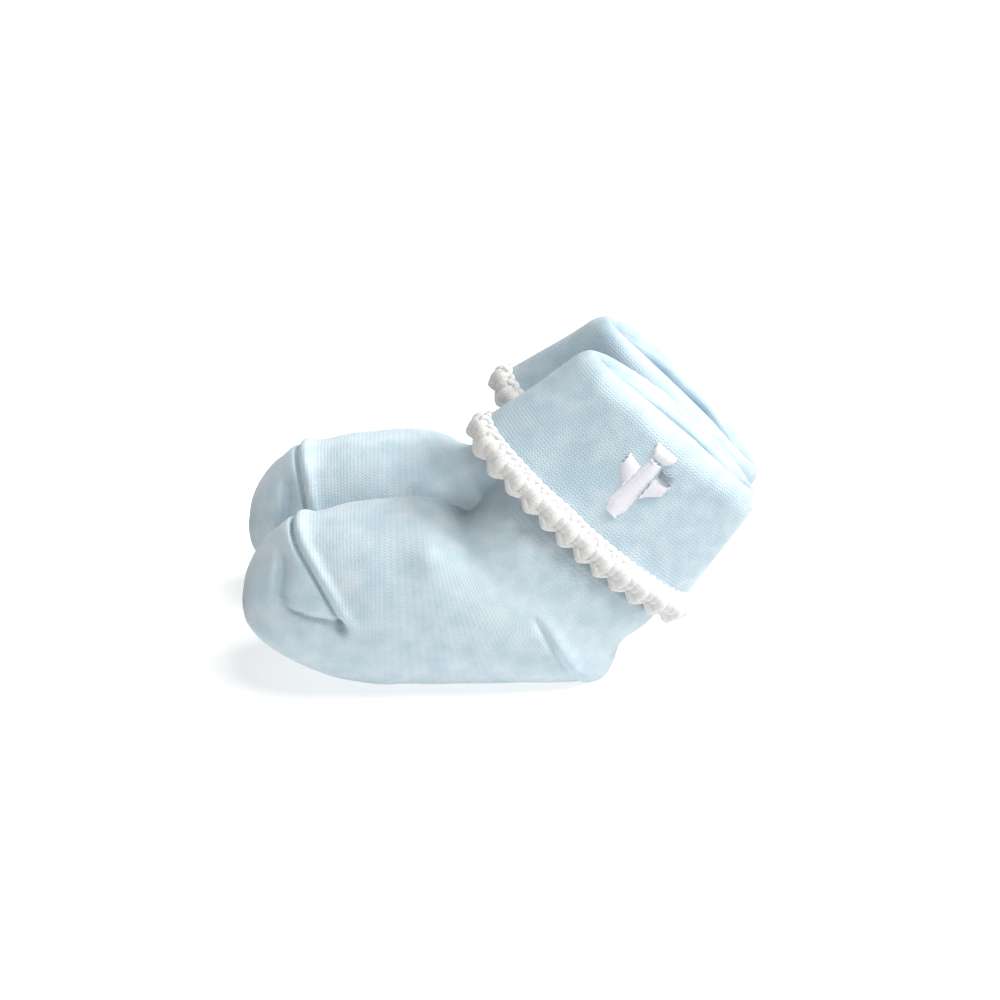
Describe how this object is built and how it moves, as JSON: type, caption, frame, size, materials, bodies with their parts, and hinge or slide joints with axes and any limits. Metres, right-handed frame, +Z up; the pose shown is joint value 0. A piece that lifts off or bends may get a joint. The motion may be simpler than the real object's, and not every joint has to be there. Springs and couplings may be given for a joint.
{
  "type": "pair of baby booties",
  "caption": "Pair of soft knitted baby booties with turned-down cuffs, a scalloped crocheted edging and a small stitched aeroplane on each outer side.",
  "frame": {"origin": "on the floor under the middle of the pair's box", "axes": "-X towards the toes, +X towards the heels, +Y from the left bootie to the right bootie, +Z up"},
  "size_m": [0.1302, 0.0746, 0.0855],
  "materials": {
    "knit": "soft matt light-blue jersey knit",
    "seam": "linked seam in the same light-blue yarn",
    "elastic": "covered elastic thread",
    "edging": "soft matt off-white crochet yarn",
    "white_thread": "satin-stitched white embroidery thread",
    "grey_thread": "satin-stitched grey embroidery thread",
    "backing": "thin white non-woven backing"
  },
  "bodies": {
    "left_foot": {"left_toe_cap": "knit", "left_toe_seam": "seam", "left_foot": "knit", "left_heel_pocket": "knit"},
    "right_foot": {"right_toe_cap": "knit", "right_toe_seam": "seam", "right_foot": "knit", "right_heel_pocket": "knit"},
    "left_leg": {"left_ankle": "knit", "left_leg": "knit", "left_cuff": "knit", "left_lower_elastic": "elastic", "left_upper_elastic": "elastic", "left_edging_row": "edging", "left_scallops": "edging", "left_plane_body": "white_thread", "left_plane_upper_wing": "white_thread", "left_plane_lower_wing": "white_thread", "left_plane_tail": "white_thread", "left_plane_wing_shade": "grey_thread", "left_embroidery_backing": "backing"},
    "right_leg": {"right_ankle": "knit", "right_leg": "knit", "right_cuff": "knit", "right_lower_elastic": "elastic", "right_upper_elastic": "elastic", "right_edging_row": "edging", "right_scallops": "edging", "right_plane_body": "white_thread", "right_plane_upper_wing": "white_thread", "right_plane_lower_wing": "white_thread", "right_plane_tail": "white_thread", "right_plane_wing_shade": "grey_thread", "right_embroidery_backing": "backing"}
  },
  "joints": [
    {"name": "left_ankle_bend", "type": "hinge", "parent": "left_foot", "child": "left_leg", "pos_m": [0.0114, -0.0177, 0.02404], "axis": [0, -1, 0], "range_deg": [-8, 24], "deforming": ["left_ankle"]},
    {"name": "pair_slide", "type": "slide", "parent": "left_foot", "child": "right_foot", "axis": [0, 1, 0], "range_m": [0, 0.06]},
    {"name": "right_ankle_bend", "type": "hinge", "parent": "right_foot", "child": "right_leg", "pos_m": [0.0114, 0.0177, 0.02404], "axis": [0, -1, 0], "range_deg": [-4, 28], "deforming": ["right_ankle"]}
  ]
}
